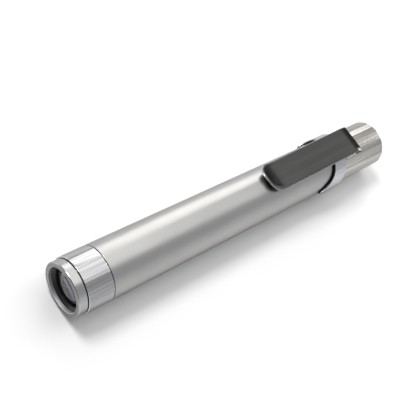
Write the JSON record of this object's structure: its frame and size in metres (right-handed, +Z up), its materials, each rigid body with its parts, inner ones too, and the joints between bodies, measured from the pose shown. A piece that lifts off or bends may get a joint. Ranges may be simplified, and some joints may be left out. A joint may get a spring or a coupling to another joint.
{
  "type": "penlight",
  "caption": "Slim aluminium pocket torch with a twist focus ring, a domed lens, a push button in the tail cap and a folded spring clip.",
  "frame": {"origin": "middle of the torch's length and width, on the surface that it lies on", "axes": "+X from the lens towards the tail cap, +Z up through the clip's blade"},
  "size_m": [0.121, 0.0172, 0.0179],
  "materials": {
    "satin_aluminium": "fine satin, turned",
    "lens_glass": "clear, polished",
    "black_anodised": "black anodised, semi-gloss",
    "black_rubber": "moulded, greased",
    "pin_steel": "ground",
    "polished_aluminium": "polished lengthwise",
    "spring_steel": "as drawn",
    "led_phosphor": "yellow phosphor under silicone",
    "black_board": "black solder mask",
    "brass": "turned",
    "green_board": "green solder mask",
    "gilt_spring": "gold plated",
    "pale_plastic": "moulded",
    "blasted_aluminium": "bead blasted, clear anodised",
    "cell_jacket": "plain printed film",
    "cell_steel": "nickel plated",
    "black_liner": "black nylon strip",
    "bright_steel": "bright plated",
    "dark_steel": "dark bright-plated spring steel",
    "brushed_aluminium": "brushed lengthwise",
    "dark_plastic": "moulded",
    "button_rubber": "moulded, matt"
  },
  "bodies": {
    "barrel": {"barrel": "blasted_aluminium", "battery_sleeve": "pale_plastic", "front_cell": "cell_jacket", "front_cell_terminal": "cell_steel", "rear_cell": "cell_jacket", "rear_cell_terminal": "cell_steel", "head_core": "black_anodised", "core_o_ring": "black_rubber", "head_circlip": "spring_steel", "led_emitter": "led_phosphor", "led_board": "black_board", "led_pill": "brass", "driver_board": "green_board", "front_spring": "gilt_spring", "front_insulator": "pale_plastic", "clip_liner": "black_liner", "clip_band": "bright_steel", "tail_o_ring": "black_rubber"},
    "lens_carrier": {"front_bezel": "satin_aluminium", "lens": "lens_glass", "lens_ring": "black_anodised", "bezel_o_ring": "black_rubber", "guide_pins": "pin_steel"},
    "focus_ring": {"focus_ring": "polished_aluminium"},
    "clip_blade": {"clip_blade": "dark_steel"},
    "tail_spring": {"tail_spring": "gilt_spring"},
    "tail_cap": {"tail_cap": "brushed_aluminium", "tail_contact": "brass", "switch_retainer": "brass", "switch_body": "dark_plastic", "switch_spring": "spring_steel"},
    "tail_button": {"switch_plunger": "pin_steel", "tail_button": "button_rubber"}
  },
  "joints": [
    {"name": "lens_travel", "type": "slide", "parent": "barrel", "child": "lens_carrier", "axis": [-1, 0, 0], "range_m": [0, 0.0022]},
    {"name": "focus_turn", "type": "hinge", "parent": "barrel", "child": "focus_ring", "pos_m": [-0.054, 0, 0.0078], "axis": [1, 0, 0], "range_deg": [0, 100]},
    {"name": "clip_flex", "type": "hinge", "parent": "barrel", "child": "clip_blade", "pos_m": [0.04595, 0, 0.01668], "axis": [0, 1, 0], "range_deg": [0, 6], "stiffness_Nm_per_rad": 1, "springref_deg": -2.86},
    {"name": "tail_cap_travel", "type": "slide", "parent": "barrel", "child": "tail_spring", "axis": [1, 0, 0], "range_m": [0, 0.005]},
    {"name": "tail_cap_turn", "type": "hinge", "parent": "tail_spring", "child": "tail_cap", "pos_m": [0.0495, 0, 0.0078], "axis": [1, 0, 0], "range_deg": [0, 1800]},
    {"name": "button_press", "type": "slide", "parent": "tail_cap", "child": "tail_button", "axis": [-1, 0, 0], "range_m": [0, 0.0014], "stiffness_N_per_m": 400, "springref_m": -0.002, "deforming": ["switch_spring"]}
  ],
  "couplings": [
    {"joint": "focus_turn", "follows": "lens_travel", "rad_per_m": 793.3},
    {"joint": "tail_cap_turn", "follows": "tail_cap_travel", "rad_per_m": 6283.1}
  ]
}
